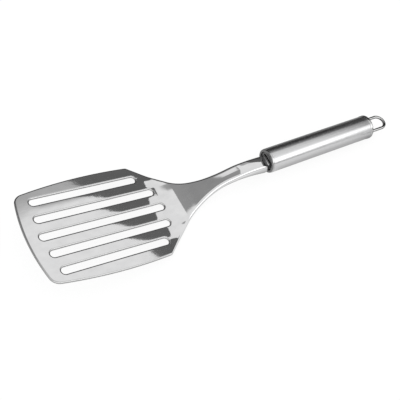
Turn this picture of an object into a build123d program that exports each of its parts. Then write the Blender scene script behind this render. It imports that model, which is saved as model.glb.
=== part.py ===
from build123d import *
import os
from math import asin, atan2, cos, radians, sin, tan

# An all-steel slotted turner. Lengths are millimetres and angles are degrees.
# The tool's own frame has its origin on the blade's top face at the middle of the front edge, with X
# towards the handle and Z up from the blade. The finished tool lies the way it comes to rest on a
# table: on the two flanges where the neck starts to rise, and on the rim of the rear cap.

# Sheet that the blade, the neck and the tang are stamped from
sheet_thickness = 1.8
edge_bevel = 0.9
slot_bevel = 0.9

# Blade, seen from above
front_half_width = 41.9
front_bow = 5.6
front_corner_radius = 9.5
shoulder_x = 112.7
shoulder_half_width = 46.6
side_bow = 3.15
shoulder_radius = 3.5

# Slots, listed from the middle one outwards, and mirrored to the other side
slot_width = 6.4
slot_pitch = 16.5
slot_fronts = (11.2, 13.5, 15.8)
slot_backs = (128.5, 125.9, 115.8)

# Neck, seen from above
throat_x = 162.2
throat_radius = 70.7
neck_half_width = 6.9

# Neck, seen from the side: its top face rises from the blade and levels out to the handle's slope
rise_x = 144.8
rise_angle = 34.2
rise_radius = 53.0
handle_slope = 10.1
crest_radius = 102.0

# The lower edges of the two flanges that stiffen the neck: they leave the blade's underside at the
# shoulders, dip a little below it and then rise with the neck
flange_dip = 0.85
flange_dip_x = 126.0
flange_rise_x = 146.4
flange_rise_angle = 33.0
flange_rise_radius = 45.0
flange_crest_x = 190.6
flange_crest_angle = 2.0
flange_crest_radius = 92.0

# Handle
handle_x = 227.9
handle_z = 35.0
tube_diameter = 23.0
tube_wall = 0.8
tube_length = 115.6

# Tang, the narrow end of the sheet that goes through the front cap
tang_height = 2.15
tang_width = 10.8
tang_length = 26.0
tang_corner = 3.0
neck_gap = 0.2

# Front cap
lip_inset = 0.2
lip_length = 1.9
lip_bevel = 0.85
lip_width = 1.9
lip_inner_bevel = 0.4
recess_depth = 1.4
cap_plate = 2.0
skirt_length = 9.0
skirt_wall = 1.2
tang_side_gap = 0.4
tang_top_gap = 1.1

# Rear cap
head_proud = 0.3
head_length = 3.2
head_bevel = 0.95
head_front_bevel = 0.35

# Hanging loop
wire_diameter = 2.8
loop_half_spacing = 6.85
loop_straight = 16.1
loop_tail = 3.0

# Welds inside the handle
tang_bead = 2.2
loop_bead = 0.9

# Fits
fit_clearance = 0.1
overrun = 5.0
middle_share = 0.5

# Worked-out sizes
tube_radius = tube_diameter / 2
skirt_radius = tube_radius - tube_wall - fit_clearance
skirt_bore = skirt_radius - skirt_wall
wire_radius = wire_diameter / 2
hole_radius = wire_radius + fit_clearance
head_radius = tube_radius + head_proud
tube_start = lip_length
tube_end = tube_start + tube_length
head_end = tube_end + head_length
rise = radians(rise_angle)
slope = radians(handle_slope)
flange_rise = radians(flange_rise_angle)
flange_low = -sheet_thickness - flange_dip
lip_radius = tube_radius - lip_inset
lip_bore = lip_radius - lip_width
outline_end = handle_x + tube_radius
hollow_low = flange_low - overrun
tall = handle_z + tube_radius
wide = shoulder_half_width + side_bow

# How the tool lies on the table, seen from the side: the tangent from a corner of the rear cap's rim to
# the round lower bend of the flanges
bend_x = flange_rise_x - flange_rise_radius * tan(flange_rise / 2)
bend_z = flange_low + flange_rise_radius
rim_back = head_end - head_bevel - head_bevel / 2
edge_x = handle_x + rim_back * cos(slope) + head_radius * sin(slope)
edge_z = handle_z + rim_back * sin(slope) - head_radius * cos(slope)
reach = ((edge_x - bend_x) ** 2 + (edge_z - bend_z) ** 2) ** 0.5
lean = atan2(edge_z - bend_z, edge_x - bend_x) + asin(flange_rise_radius / reach)

# The tool's frame, set so that the origin of the world is under the middle of the lying tool
loop_reach = head_end + loop_straight + loop_half_spacing
loop_x = handle_x + loop_reach * cos(slope)
loop_z = handle_z + loop_reach * sin(slope)
front_reach = -sheet_thickness * sin(lean)
back_reach = loop_x * cos(lean) + loop_z * sin(lean) + wire_radius
tool_x = -(front_reach + back_reach) / 2
tool_z = flange_rise_radius + bend_x * sin(lean) - bend_z * cos(lean)
tool = Plane(
    origin=(tool_x, 0, tool_z),
    x_dir=(cos(lean), 0, -sin(lean)),
    z_dir=(sin(lean), 0, cos(lean)),
)
side = Plane(origin=tool.origin, x_dir=tool.x_dir, z_dir=-tool.y_dir)

# The handle's frames start at the front rim of its cap: along it, across it and flat with the tang
handle_origin = tool.from_local_coords(Vector(handle_x, 0, handle_z))
handle_dir = tool.x_dir * cos(slope) + tool.z_dir * sin(slope)
handle_up = tool.z_dir * cos(slope) - tool.x_dir * sin(slope)
along = Plane(origin=handle_origin, x_dir=handle_dir, z_dir=-tool.y_dir)
across = Plane(origin=handle_origin, x_dir=tool.y_dir, z_dir=handle_dir)
flat = Plane(origin=handle_origin, x_dir=handle_dir, z_dir=handle_up)
handle_axis = Axis(handle_origin, handle_dir)

# The neck's top face ends just before the front cap, and its end is square to the handle
end_x = handle_x - neck_gap * cos(slope) - tang_height * sin(slope)
end_z = handle_z - neck_gap * sin(slope) + tang_height * cos(slope)
crest_x = (end_z - end_x * tan(slope) + rise_x * tan(rise)) / (tan(rise) - tan(slope))
crest_z = (crest_x - rise_x) * tan(rise)
flange_crest_z = flange_low + (flange_crest_x - flange_rise_x) * tan(flange_rise)


def sheet_path(depth, beyond):
    """The neck's line seen from the side, a depth under the top face and a length beyond its end."""
    middle = (rise + slope) / 2
    turn = (rise - slope) / 2
    return (
        (rise_x + depth * tan(rise / 2), -depth),
        (crest_x + depth * sin(middle) / cos(turn), crest_z - depth * cos(middle) / cos(turn)),
        (end_x + depth * sin(slope) + beyond * cos(slope), end_z - depth * cos(slope) + beyond * sin(slope)),
    )


# Where the flanges' line meets the square cut at the neck's end
crest_fall = tan(radians(flange_crest_angle))
flange_depth = (end_z - flange_crest_z - (end_x - flange_crest_x) * crest_fall) / (
    cos(slope) + sin(slope) * crest_fall
)
flange_tip = (end_x + flange_depth * sin(slope), end_z - flange_depth * cos(slope))

# Blade and neck from above: bowed front and sides, rounded corners, and straight shoulders that sweep
# into the narrow neck
with BuildSketch() as outline:
    with BuildLine():
        ThreePointArc((front_bow, front_half_width), (0, 0), (front_bow, -front_half_width))
        for way in (1, -1):
            corner = (front_bow, way * front_half_width)
            shoulder = (shoulder_x, way * shoulder_half_width)
            SagittaArc(corner, shoulder, way * side_bow)
            Polyline(shoulder, (throat_x, way * neck_half_width), (outline_end, way * neck_half_width))
        Line((outline_end, neck_half_width), (outline_end, -neck_half_width))
    make_face()
    fillet(outline.vertices().group_by(Axis.X)[2], radius=throat_radius)
    fillet(outline.vertices().group_by(Axis.X)[1], radius=shoulder_radius)
    fillet(outline.vertices().group_by(Axis.X)[0], radius=front_corner_radius)

# The hollow between the flanges: the same outline and the same path, one sheet thickness further in
with BuildPart() as hollow:
    with BuildSketch(tool):
        add(outline.sketch)
        offset(amount=-sheet_thickness)
    extrude(amount=tall, both=True)
    with BuildSketch(side):
        with BuildLine():
            roof = FilletPolyline(
                (shoulder_x, -sheet_thickness),
                *sheet_path(sheet_thickness, overrun),
                radius=(rise_radius + sheet_thickness, crest_radius - sheet_thickness),
            )
            Polyline(roof @ 1, ((roof @ 1).X, hollow_low), (shoulder_x, hollow_low), roof @ 0)
        make_face()
    extrude(amount=wide, both=True, mode=Mode.INTERSECT)

with BuildPart() as blade:
    with BuildSketch(tool):
        add(outline.sketch)
    extrude(amount=tall, both=True)
    with BuildSketch(side):
        with BuildLine():
            top = FilletPolyline((-overrun, 0), *sheet_path(0, 0), radius=(rise_radius, crest_radius))
            bottom = FilletPolyline(
                (flange_dip_x, flange_low),
                (flange_rise_x, flange_low),
                (flange_crest_x, flange_crest_z),
                flange_tip,
                radius=(flange_rise_radius, flange_crest_radius),
            )
            Polyline((-overrun, 0), (-overrun, -sheet_thickness), (shoulder_x, -sheet_thickness), bottom @ 0)
            Line(top @ 1, bottom @ 1)
        make_face()
    extrude(amount=wide, both=True, mode=Mode.INTERSECT)
    tops = blade.faces().filter_by(lambda f: f.normal_at(f.center()).dot(tool.z_dir) > cos(slope + rise))
    chamfer(tops.edges().filter_by(Axis.Y, reverse=True), length=edge_bevel)
    add(hollow.part, mode=Mode.SUBTRACT)
    # The slots, whose upper edges are bevelled
    with BuildSketch(tool.offset(-sheet_thickness - overrun)):
        for row in range(1 - len(slot_backs), len(slot_backs)):
            slot_front = slot_fronts[abs(row)]
            slot_back = slot_backs[abs(row)]
            with Locations(((slot_front + slot_back) / 2, row * slot_pitch)):
                SlotOverall(slot_back - slot_front, slot_width)
    before = blade.edges()
    extrude(amount=sheet_thickness + overrun * 2, mode=Mode.SUBTRACT)
    slot_edges = blade.edges() - before
    rims = slot_edges.filter_by(lambda e: tool.to_local_coords(e @ middle_share).Z > -edge_bevel / 2)
    chamfer(rims, length=slot_bevel)
    # The tang carries the neck's top straight on into the handle
    with BuildSketch(flat.offset(tang_height - sheet_thickness)) as tang:
        with Locations((tang_length, 0)):
            Rectangle(tang_length + neck_gap + sheet_thickness, tang_width, align=(Align.MAX, Align.CENTER))
        fillet(tang.vertices().group_by(Axis.X)[-1], radius=tang_corner)
    extrude(amount=sheet_thickness)
blade.part.label = "blade"

with BuildPart() as front_cap:
    with BuildSketch(along) as wall:
        with BuildLine():
            Polyline(
                (0, lip_bore),
                (0, lip_radius),
                (lip_length, lip_radius),
                (lip_length, skirt_radius),
                (lip_length + skirt_length, skirt_radius),
                (lip_length + skirt_length, skirt_bore),
                (recess_depth + cap_plate, skirt_bore),
                (recess_depth + cap_plate, 0),
                (recess_depth, 0),
                (recess_depth, lip_bore),
                close=True,
            )
        make_face()
        chamfer(wall.vertices().group_by(Axis.X)[0].sort_by(Axis.Y)[0], length=lip_inner_bevel)
        chamfer(wall.vertices().group_by(Axis.X)[0].sort_by(Axis.Y)[-1], length=lip_bevel)
        chamfer(wall.vertices().group_by(Axis.Y)[-1].sort_by(Axis.X)[0], length=lip_bevel / 2)
        chamfer(wall.vertices().group_by(Axis.X)[0].sort_by(Axis.Y)[-1], length=lip_bevel / 2)
    revolve(axis=handle_axis)
    with BuildSketch(flat.offset(tang_height - sheet_thickness)):
        with Locations((recess_depth + cap_plate / 2, 0)):
            Rectangle(cap_plate + recess_depth, tang_width + 2 * tang_side_gap)
    extrude(amount=sheet_thickness + tang_top_gap, mode=Mode.SUBTRACT)
front_cap.part.label = "front_cap"

with BuildPart() as handle_tube:
    with BuildSketch(across.offset(tube_start)):
        Circle(tube_radius)
        Circle(tube_radius - tube_wall, mode=Mode.SUBTRACT)
    extrude(amount=tube_length)
handle_tube.part.label = "handle_tube"

with BuildPart() as rear_cap:
    with BuildSketch(along) as wall:
        with BuildLine():
            Polyline(
                (tube_end, skirt_radius),
                (tube_end, head_radius),
                (head_end, head_radius),
                (head_end, 0),
                (head_end - cap_plate, 0),
                (head_end - cap_plate, skirt_bore),
                (tube_end - skirt_length, skirt_bore),
                (tube_end - skirt_length, skirt_radius),
                close=True,
            )
        make_face()
        chamfer(wall.vertices().group_by(Axis.Y)[-1].sort_by(Axis.X)[0], length=head_front_bevel)
        chamfer(wall.vertices().group_by(Axis.Y)[-1].sort_by(Axis.X)[-1], length=head_bevel)
        chamfer(wall.vertices().group_by(Axis.Y)[-1].sort_by(Axis.X)[-1], length=head_bevel / 2)
        chamfer(wall.vertices().group_by(Axis.X)[-1].sort_by(Axis.Y)[-1], length=head_bevel / 2)
    revolve(axis=handle_axis)
    with BuildSketch(across.offset(head_end)):
        with GridLocations(2 * loop_half_spacing, 0, 2, 1):
            Circle(hole_radius)
    extrude(amount=-cap_plate - overrun, mode=Mode.SUBTRACT)
rear_cap.part.label = "rear_cap"

with BuildPart() as hanging_loop:
    leg_start = head_end - cap_plate - loop_tail
    leg_end = head_end + loop_straight
    with BuildLine(flat) as wire:
        Line((leg_start, loop_half_spacing), (leg_end, loop_half_spacing))
        ThreePointArc(
            (leg_end, loop_half_spacing),
            (leg_end + loop_half_spacing, 0),
            (leg_end, -loop_half_spacing),
        )
        Line((leg_end, -loop_half_spacing), (leg_start, -loop_half_spacing))
    with BuildSketch(Plane(origin=wire.wire() @ 0, z_dir=wire.wire() % 0)):
        Circle(wire_radius)
    sweep(path=wire.wire())
hanging_loop.part.label = "hanging_loop"

# One bead over the tang and one under it, against the back of the front cap's plate
with BuildPart() as tang_weld:
    plate_back = recess_depth + cap_plate
    with BuildSketch(along):
        for level, way in ((tang_height, 1), (tang_height - sheet_thickness, -1)):
            with BuildLine():
                Polyline(
                    (plate_back, level),
                    (plate_back + tang_bead, level),
                    (plate_back, level + way * tang_bead),
                    close=True,
                )
            make_face()
    extrude(amount=tang_width / 2, both=True)
tang_weld.part.label = "tang_weld"

# A ring of weld round each leg of the loop, against the inner face of the rear cap's plate
with BuildPart() as loop_weld:
    plate_front = head_end - cap_plate
    for way in (1, -1):
        leg_plane = along.offset(way * loop_half_spacing)
        with BuildSketch(leg_plane):
            with BuildLine():
                Polyline(
                    (plate_front - loop_bead, hole_radius),
                    (plate_front, hole_radius),
                    (plate_front, hole_radius + loop_bead),
                    close=True,
                )
            make_face()
        revolve(axis=Axis(leg_plane.origin, handle_dir))
loop_weld.part.label = "loop_weld"

os.makedirs("parts", exist_ok=True)
for piece in (blade, front_cap, handle_tube, rear_cap, hanging_loop, tang_weld, loop_weld):
    export_step(piece.part, f"parts/{piece.part.label}.step")
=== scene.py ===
"""Looks of an all-steel slotted turner: polished sheet, brushed handle and wire loop, in a white studio.

Sizes are millimetres and degrees, as in the part, and turn into metres only when a mesh is made.
"""

import logging
import math
from dataclasses import dataclass
from enum import Enum
from typing import ClassVar

import bmesh
import bpy
import numpy as np
from mathutils import Matrix, Vector


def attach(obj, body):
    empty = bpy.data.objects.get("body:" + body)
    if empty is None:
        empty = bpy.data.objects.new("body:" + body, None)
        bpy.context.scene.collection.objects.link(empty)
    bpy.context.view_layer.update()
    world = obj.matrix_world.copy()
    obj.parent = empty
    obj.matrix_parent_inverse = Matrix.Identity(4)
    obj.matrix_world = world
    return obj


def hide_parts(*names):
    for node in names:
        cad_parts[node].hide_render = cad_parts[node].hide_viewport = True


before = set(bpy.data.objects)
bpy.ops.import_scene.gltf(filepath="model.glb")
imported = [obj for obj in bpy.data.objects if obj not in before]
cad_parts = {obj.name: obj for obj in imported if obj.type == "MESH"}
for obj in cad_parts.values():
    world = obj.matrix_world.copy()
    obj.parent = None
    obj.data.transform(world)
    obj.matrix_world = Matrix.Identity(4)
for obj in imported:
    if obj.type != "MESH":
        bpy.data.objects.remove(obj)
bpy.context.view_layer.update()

MM = 0.001
SHARP = math.radians(38)
Colour = tuple[float, float, float]
Socket = bpy.types.NodeSocket
log = logging.getLogger("turner")


@dataclass(frozen=True)
class BentLine:
    """A line seen from the side: straight runs joined by arcs.

    Args:
        corners: the points (x, z) where the straight runs would meet, with the two ends.
        radii: the radius of the arc at each inner corner.
    """

    corners: tuple[tuple[float, float], ...]
    radii: tuple[float, ...]

    def angles(self) -> np.ndarray:
        """The slope of each straight run, in radians."""
        steps = np.diff(np.array(self.corners), axis=0)
        return np.arctan2(steps[:, 1], steps[:, 0])

    def height(self, x: np.ndarray) -> np.ndarray:
        """The line's height at each x: a run is its corner plus slope times distance, an arc is a circle.

        Args:
            x: any array of positions along the tool.

        Returns:
            The heights, an array of the same shape.
        """
        slopes = self.angles()
        (x0, z0) = self.corners[0]
        height = z0 + (x - x0) * math.tan(slopes[0])
        for (cx, cz), radius, before, after in zip(self.corners[1:-1], self.radii, slopes[:-1], slopes[1:]):
            reach = radius * abs(math.tan((after - before) / 2))
            way = 1 if after > before else -1
            begin = (cx - reach * math.cos(before), cz - reach * math.sin(before))
            centre = (begin[0] - way * radius * math.sin(before), begin[1] + way * radius * math.cos(before))
            drop = np.sqrt(np.maximum(radius**2 - (x - centre[0]) ** 2, 0))
            height = np.where(x > begin[0], centre[1] - way * drop, height)
            height = np.where(x > cx + reach * math.cos(after), cz + (x - cx) * math.tan(after), height)
        return height

    def lowered(self, depth: float) -> "BentLine":
        """The parallel line a depth underneath, as the underside of a sheet is.

        Args:
            depth: the distance between the two lines.

        Returns:
            The lower line, whose arcs share their centres with this one's.
        """
        slopes = self.angles()
        before = np.concatenate([slopes[:1], slopes])
        after = np.concatenate([slopes, slopes[-1:]])
        middle = (before + after) / 2
        reach = depth / np.cos((after - before) / 2)
        moved = np.array(self.corners) + np.stack([reach * np.sin(middle), -reach * np.cos(middle)], -1)
        radii = np.array(self.radii) + depth * np.sign(after - before)[1:-1]
        return BentLine(tuple(map(tuple, moved)), tuple(radii))


@dataclass(frozen=True)
class Curve:
    """A curve in the sheet's plan: its points, and the direction that leads into the sheet at each."""

    points: np.ndarray
    inward: np.ndarray

    def measure(self, step: float, turn: float) -> np.ndarray:
        """How far along each point is, counting length over a step and turning over a step of angle.

        Args:
            step: the length that counts as one.
            turn: the angle in radians that counts as one.

        Returns:
            A rising array that starts at zero.
        """
        length = np.linalg.norm(np.diff(self.points, axis=0), axis=1)
        bend = np.linalg.norm(np.diff(self.inward, axis=0), axis=1)
        return np.concatenate([[0.0], np.cumsum(length / step + bend / turn)])

    def inset(self, distance: np.ndarray | float) -> np.ndarray:
        """The points moved into the sheet by a distance."""
        return self.points + self.inward * np.reshape(distance, (-1, 1))


def arc(centre: np.ndarray, radius: float, start: float, end: float, hollow: bool = False) -> Curve:
    """An arc in plan: centre + radius * (cos a, sin a), with the angle a running evenly.

    Args:
        centre: the circle's centre.
        radius: its radius.
        start: the first angle, in radians.
        end: the last angle, in radians.
        hollow: True where the sheet lies outside the circle.

    Returns:
        The arc, with about ten points to the millimetre.
    """
    count = max(3, int(abs(end - start) * radius * 10))
    angle = np.linspace(start, end, count)
    out = np.stack([np.cos(angle), np.sin(angle)], -1)
    return Curve(centre + radius * out, out if hollow else -out)


def spaced(curve: Curve, steps: int) -> Curve:
    """The curve with an even number of steps, counting a millimetre or two degrees of turning as one.

    Args:
        curve: the curve, with many points.
        steps: the number of steps wanted.

    Returns:
        The same curve with steps + 1 points, its inward directions made unit again.
    """
    measure = curve.measure(1.0, math.radians(2.0))
    wanted = np.linspace(0, measure[-1], steps + 1)
    points = np.stack([np.interp(wanted, measure, curve.points[:, i]) for i in (0, 1)], -1)
    inward = np.stack([np.interp(wanted, measure, curve.inward[:, i]) for i in (0, 1)], -1)
    return Curve(points, inward / np.linalg.norm(inward, axis=1, keepdims=True))


def joined(curves: list[Curve]) -> Curve:
    """Curves put end to end, each shared end kept once.

    Args:
        curves: the curves in order, each starting where the one before ends.

    Returns:
        One curve.
    """
    points = [curve.points[1:] for curve in curves[1:]]
    inward = [curve.inward[1:] for curve in curves[1:]]
    return Curve(np.concatenate([curves[0].points] + points), np.concatenate([curves[0].inward] + inward))


def between(start: np.ndarray, end: np.ndarray, steps: int) -> np.ndarray:
    """Even points from start to end: start + share * (end - start)."""
    return start + np.linspace(0, 1, steps + 1)[:, None] * (end - start)


def mirrored(grid: np.ndarray) -> np.ndarray:
    """The same grid on the other side of the middle plane: y becomes -y."""
    return grid * np.array([1, -1, 1])


def straight(start: np.ndarray, end: np.ndarray, inward: np.ndarray) -> Curve:
    """A straight stretch in plan: start + share * (end - start), with one inward direction.

    Args:
        start: its first point.
        end: its last point.
        inward: the direction into the sheet.

    Returns:
        The stretch, with about ten points to the millimetre.
    """
    share = np.linspace(0, 1, max(3, int(np.linalg.norm(end - start) * 10)))[:, None]
    return Curve(start + share * (end - start), np.repeat(inward[None], len(share), axis=0))


def circles_meet(c0: np.ndarray, r0: float, c1: np.ndarray, r1: float, near: np.ndarray) -> np.ndarray:
    """The crossing of two circles that lies nearest to a point.

    Args:
        c0: the first centre.
        r0: the first radius.
        c1: the second centre.
        r1: the second radius.
        near: the point that picks one of the two crossings.

    Returns:
        The crossing.
    """
    gap = c1 - c0
    span = np.linalg.norm(gap)
    along = (r0**2 - r1**2 + span**2) / (2 * span)
    off = math.sqrt(r0**2 - along**2)
    unit = gap / span
    side = np.array([-unit[1], unit[0]])
    found = [c0 + unit * along + side * off * way for way in (1, -1)]
    return min(found, key=lambda point: np.linalg.norm(point - near))


def circle_meets_line(c: np.ndarray, r: float, start: np.ndarray, along: np.ndarray) -> np.ndarray:
    """The crossing of a circle and a line that lies nearest to the line's start.

    The distance along the line solves its quadratic, -b plus or minus the root of b^2 - g^2 + r^2.

    Args:
        c: the circle's centre.
        r: its radius.
        start: a point of the line.
        along: the line's direction, of length one.

    Returns:
        The crossing.
    """
    gap = start - c
    b = gap @ along
    root = math.sqrt(b**2 - gap @ gap + r**2)
    return start + along * min((-b + root, -b - root), key=abs)


def smooth(x: np.ndarray, start: float, end: float) -> np.ndarray:
    """A soft step from 0 at start to 1 at end: 3 u squared minus 2 u cubed, u the share of the way."""
    u = np.clip((x - start) / (end - start), 0, 1)
    return u * u * (3 - 2 * u)


def window(x: np.ndarray, rise: tuple[float, float], fall: tuple[float, float]) -> np.ndarray:
    """A soft 1 between two steps: in over the rise and out over the fall."""
    return smooth(x, *rise) * (1 - smooth(x, *fall))


def stepped(x: np.ndarray, base: float, steps: tuple[tuple[float, float, float], ...]) -> np.ndarray:
    """A base plus soft steps: base + the sum of amount * smooth(x, start, end).

    Args:
        x: any array of positions.
        base: the value before the steps.
        steps: for each step its start, its end and its amount.

    Returns:
        An array of the shape of x.
    """
    return base + sum(amount * smooth(x, start, end) for start, end, amount in steps)


def quads_of(rows: int, columns: int, start: int = 0) -> np.ndarray:
    """The four corners of each cell of a grid, numbered row by row from start."""
    index = start + np.arange(rows * columns).reshape(rows, columns)
    return np.stack([index[:-1, :-1], index[1:, :-1], index[1:, 1:], index[:-1, 1:]], -1).reshape(-1, 4)


def filled(lower: np.ndarray, upper: np.ndarray, front: np.ndarray, back: np.ndarray) -> np.ndarray:
    """A grid between four edges: a Coons patch.

    With s along and t across, a point is (1-t) lower + t upper + (1-s) front + s back, less the same
    blend of the four corners.

    Args:
        lower: the edge at t = 0, as points along s.
        upper: the edge at t = 1, with as many points.
        front: the edge at s = 0, as points along t.
        back: the edge at s = 1, with as many points as front.

    Returns:
        The grid, s by t by 2.
    """
    s = np.linspace(0, 1, len(lower))[:, None, None]
    t = np.linspace(0, 1, len(front))[None, :, None]
    across = (1 - t) * lower[:, None] + t * upper[:, None]
    along = (1 - s) * front[None] + s * back[None]
    corners = (1 - s) * ((1 - t) * lower[0] + t * upper[0]) + s * ((1 - t) * lower[-1] + t * upper[-1])
    return across + along - corners


def rounded(corners: list[tuple[float, float]], radii: list[float], steps: int = 8) -> np.ndarray:
    """An open profile whose inner corners are rounded by arcs.

    Each arc touches both of its runs: it starts a reach before the corner, radius * tan(turn / 2), and
    its points are centre + radius * (cos a, sin a).

    Args:
        corners: the profile's points, ends included.
        radii: a radius for each inner corner, 0 for a sharp one.
        steps: the number of steps in each arc.

    Returns:
        The points of the profile.
    """
    points = np.array(corners, float)
    out = [points[:1]]
    for before, corner, after, radius in zip(points[:-2], points[1:-1], points[2:], radii):
        if radius <= 0:
            out.append(corner[None])
            continue
        come = (corner - before) / np.linalg.norm(corner - before)
        go = (after - corner) / np.linalg.norm(after - corner)
        turn = math.atan2(come[0] * go[1] - come[1] * go[0], come @ go)
        side = np.array([-come[1], come[0]]) * math.copysign(1, turn)
        begin = corner - come * radius * math.tan(abs(turn) / 2)
        angle = np.linspace(0, abs(turn), steps + 1)[:, None]
        out.append(begin + radius * (np.sin(angle) * come + (1 - np.cos(angle)) * side))
    out.append(points[-1:])
    return np.concatenate(out)


@dataclass(frozen=True)
class Handle:
    """Where the handle is and how large: the frame that the caps, the tube and the loop share.

    A point (s, y, h) of the handle's frame is s along its axis from the front rim, y across and h up.
    """

    x: float = 227.9
    z: float = 35.0
    slope: float = math.radians(10.1)
    tube_radius: float = 11.5
    tube_wall: float = 0.8
    lip_length: float = 1.9
    tube_length: float = 115.6
    head_length: float = 3.2
    head_proud: float = 0.3
    head_bevel: float = 0.95
    skirt_clearance: float = 0.1
    tang_height: float = 2.15
    neck_gap: float = 0.2

    def tool_point(self, s: np.ndarray | float, h: np.ndarray | float) -> tuple:
        """The place in the tool's frame, seen from the side, of a point of the handle's frame.

        Args:
            s: how far the point is along the axis.
            h: how far it is above the axis.

        Returns:
            The place's x and z.
        """
        x = self.x + s * math.cos(self.slope) - h * math.sin(self.slope)
        z = self.z + s * math.sin(self.slope) + h * math.cos(self.slope)
        return x, z

    @property
    def tube_end(self) -> float:
        """Where the tube ends and the rear cap's head begins."""
        return self.lip_length + self.tube_length

    @property
    def head_end(self) -> float:
        """The rear cap's back face."""
        return self.tube_end + self.head_length

    @property
    def skirt_radius(self) -> float:
        """The radius of the caps' skirts, a clearance inside the tube's bore."""
        return self.tube_radius - self.tube_wall - self.skirt_clearance


@dataclass(frozen=True)
class Lie:
    """How the tool lies on the table: on the lower bend of its flanges and on the rear cap's rim.

    The lean is the angle of the tangent from a corner of that rim to the round bend of the flanges. The
    corner lies one and a half bevels before the cap's back face.
    """

    handle: Handle
    thickness: float = 1.8
    bend_corner: tuple[float, float] = (146.4, -2.65)
    bend_turn: float = math.radians(33.0)
    bend_radius: float = 45.0
    loop_straight: float = 16.1
    loop_half: float = 6.85
    wire_radius: float = 1.4

    @property
    def bend(self) -> tuple[float, float]:
        """The centre of the flanges' lower bend."""
        x = self.bend_corner[0] - self.bend_radius * math.tan(self.bend_turn / 2)
        return x, self.bend_corner[1] + self.bend_radius

    @property
    def lean(self) -> float:
        """How far the tool's long axis tips down towards the handle.

        Returns:
            The angle in radians.
        """
        handle = self.handle
        back = handle.head_end - 1.5 * handle.head_bevel
        x, z = handle.tool_point(back, -(handle.tube_radius + handle.head_proud))
        across = x - self.bend[0]
        up = z - self.bend[1]
        return math.atan2(up, across) + math.asin(self.bend_radius / math.hypot(across, up))

    @property
    def origin(self) -> tuple[float, float]:
        """Where the middle of the blade's front edge is, with the tool's ends evenly about the world's middle.

        Returns:
            The place's x and z, in millimetres.
        """
        x, z = self.handle.tool_point(self.handle.head_end + (self.loop_straight + self.loop_half), 0)
        back = x * math.cos(self.lean) + z * math.sin(self.lean) + self.wire_radius
        front = -self.thickness * math.sin(self.lean)
        low = self.bend[0] * math.sin(self.lean) - self.bend[1] * math.cos(self.lean)
        return -(front + back) / 2, self.bend_radius + low

    def world(self, points: np.ndarray) -> np.ndarray:
        """Turns points of the tool's frame, in millimetres, into points of the world, in metres.

        Args:
            points: an array whose last axis is x, y, z.

        Returns:
            An array of the same shape: the points leaned about Y and moved by the origin.
        """
        x, y, z = points[..., 0], points[..., 1], points[..., 2]
        ox, oz = self.origin
        cos, sin = math.cos(self.lean), math.sin(self.lean)
        return np.stack([ox + x * cos + z * sin, y, oz - x * sin + z * cos], -1) * MM

    def world_of_handle(self, points: np.ndarray) -> np.ndarray:
        """Turns points (s, y, h) of the handle's frame into points of the world, in metres."""
        x, z = self.handle.tool_point(points[..., 0], points[..., 2])
        return self.world(np.stack([x, points[..., 1], z], -1))


def woven(
    grids: list[np.ndarray],
    name: str,
    weld: float = 0.002,
    girth: bool = False,
    cut_edge_and_shade: list[np.ndarray | float] | None = None,
) -> bpy.types.Object:
    """Makes one closed, smooth mesh from grids of points that share their edges.

    Every grid becomes rows of quads, points closer than the weld become one, and the faces are turned
    outwards.

    Args:
        grids: arrays of world points in metres, rows by columns by 3.
        name: the piece's name.
        weld: the distance under which points are merged, in millimetres.
        girth: True to lay a map whose first direction runs along the columns, for a brushed finish.
        cut_edge_and_shade: for each grid, 0 to 1, how much its points have the sheet's bare cut edge, and on
            the caps their painted shade.

    Returns:
        The piece, with its place in its mesh.
    """
    points, quads, start = [], [], 0
    for grid in grids:
        rows, columns = grid.shape[:2]
        quads.append(quads_of(rows, columns, start))
        points.append(grid.reshape(-1, 3))
        start += rows * columns
    mesh = bpy.data.meshes.new(name)
    mesh.from_pydata(np.concatenate(points), [], np.concatenate(quads))
    if cut_edge_and_shade:
        share = [np.broadcast_to(part, grid.shape[:2]).ravel() for part, grid in zip(cut_edge_and_shade, grids)]
        layer = mesh.attributes.new("cut_edge_and_shade", "FLOAT", "POINT")
        layer.data.foreach_set("value", np.concatenate(share).astype(np.float32))
    if girth:
        rows, columns = grids[0].shape[:2]
        along, across = np.meshgrid(np.linspace(0, 1, rows), np.linspace(0, 1, columns), indexing="ij")
        place = np.stack([across, along], -1)
        layer = mesh.uv_layers.new(name="girth")
        layer.data.foreach_set("uv", place.reshape(-1, 2)[quads[0].ravel()].ravel())
    work = bmesh.new()
    work.from_mesh(mesh)
    bmesh.ops.remove_doubles(work, verts=work.verts, dist=weld * MM)
    bmesh.ops.dissolve_degenerate(work, edges=work.edges, dist=weld * MM / 10)
    bmesh.ops.recalc_face_normals(work, faces=work.faces)
    work.to_mesh(mesh)
    work.free()
    mesh.shade_smooth()
    mesh.set_sharp_from_angle(angle=SHARP)
    piece = bpy.data.objects.new(name, mesh)
    bpy.context.scene.collection.objects.link(piece)
    return piece


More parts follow.
